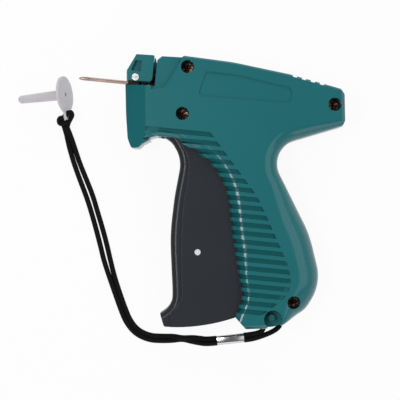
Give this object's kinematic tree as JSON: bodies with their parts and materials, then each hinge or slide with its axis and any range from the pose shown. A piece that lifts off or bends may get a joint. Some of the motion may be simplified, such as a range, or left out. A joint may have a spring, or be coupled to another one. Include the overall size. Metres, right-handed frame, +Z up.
{
  "type": "tag attacher",
  "caption": "Hand-held pistol that fires plastic tag fasteners through a hollow needle, with a rocking trigger, feed wheel, lock pin and a tethered needle guard.",
  "frame": {"origin": "on the table, below the middle of the gun, which lies on its right side", "axes": "+Z up, from the gun's right side to its left; +X to the rear of the barrel, the needle points along -X; +Y from the handle to the top of the barrel"},
  "size_m": [0.1773, 0.1557, 0.028],
  "materials": {
    "shell": "satin",
    "trigger": "matte",
    "inner": "matte",
    "lever": "matte",
    "dark_steel": "satin",
    "steel": "brushed",
    "needle": "polished",
    "rubber": "matte",
    "guard": "satin",
    "ferrule": "polished",
    "cord": "matte"
  },
  "bodies": {
    "housing": {"right_shell": "shell", "left_shell": "shell", "housing_screws": "dark_steel", "nose_block": "shell", "needle": "needle", "needle_base": "dark_steel", "cutter_blade": "dark_steel", "trigger_shaft": "steel", "lever_shaft": "steel", "wheel_pin": "steel", "pawl_pin": "steel", "wheel_detent": "steel", "slide_buffer": "rubber", "return_strip": "steel", "lanyard_strand_a": "cord", "lanyard_strand_b": "cord", "lanyard_gun_loop": "cord", "lanyard_knot": "cord", "lanyard_ferrule": "ferrule", "needle_guard": "guard"},
    "trigger": {"trigger": "trigger", "trigger_pin": "steel"},
    "link": {"link": "inner", "link_pin": "steel"},
    "lever": {"drive_lever": "lever"},
    "slide": {"slide": "inner", "slide_pin": "steel", "ejector_rod": "steel"},
    "feed_wheel": {"feed_wheel": "inner"},
    "feed_pawl": {"feed_pawl": "inner"},
    "needle_lock": {"needle_lock_pin": "steel"}
  },
  "joints": [
    {"name": "trigger_squeeze", "type": "hinge", "parent": "housing", "child": "trigger", "pos_m": [-0.01656, 0.03355, 0.014], "axis": [0, 0, 1], "range_deg": [0, 16], "stiffness_Nm_per_rad": 2, "springref_deg": -6.88},
    {"name": "link_pivot", "type": "hinge", "parent": "trigger", "child": "link", "pos_m": [0.00094, -0.03082, 0.014], "axis": [0, 0, 1], "range_deg": [-22.87, 0]},
    {"name": "lever_rock", "type": "hinge", "parent": "housing", "child": "lever", "pos_m": [0.02995, 0.00605, 0.014], "axis": [0, 0, 1], "range_deg": [0, 39.52], "deforming": ["return_strip"]},
    {"name": "slide_drive", "type": "slide", "parent": "housing", "child": "slide", "axis": [-1, 0, 0], "range_m": [0, 0.03601]},
    {"name": "feed_wheel_turn", "type": "hinge", "parent": "housing", "child": "feed_wheel", "pos_m": [-0.03485, 0.04838, 0.0174], "axis": [0, 0, 1], "continuous": true},
    {"name": "feed_pawl_swing", "type": "hinge", "parent": "housing", "child": "feed_pawl", "pos_m": [-0.02059, 0.04752, 0.0174], "axis": [0, 0, 1], "range_deg": [-6, 6], "stiffness_Nm_per_rad": 0.001},
    {"name": "needle_lock_turn", "type": "hinge", "parent": "housing", "child": "needle_lock", "pos_m": [-0.04104, 0.05861, 0.0206], "axis": [0, 0, 1], "range_deg": [0, 90]}
  ],
  "couplings": [
    {"joint": "link_pivot", "follows": "trigger_squeeze", "ratio": -1.4292},
    {"joint": "lever_rock", "follows": "trigger_squeeze", "ratio": 2.4698},
    {"joint": "slide_drive", "follows": "trigger_squeeze", "m_per_rad": 0.12892}
  ]
}
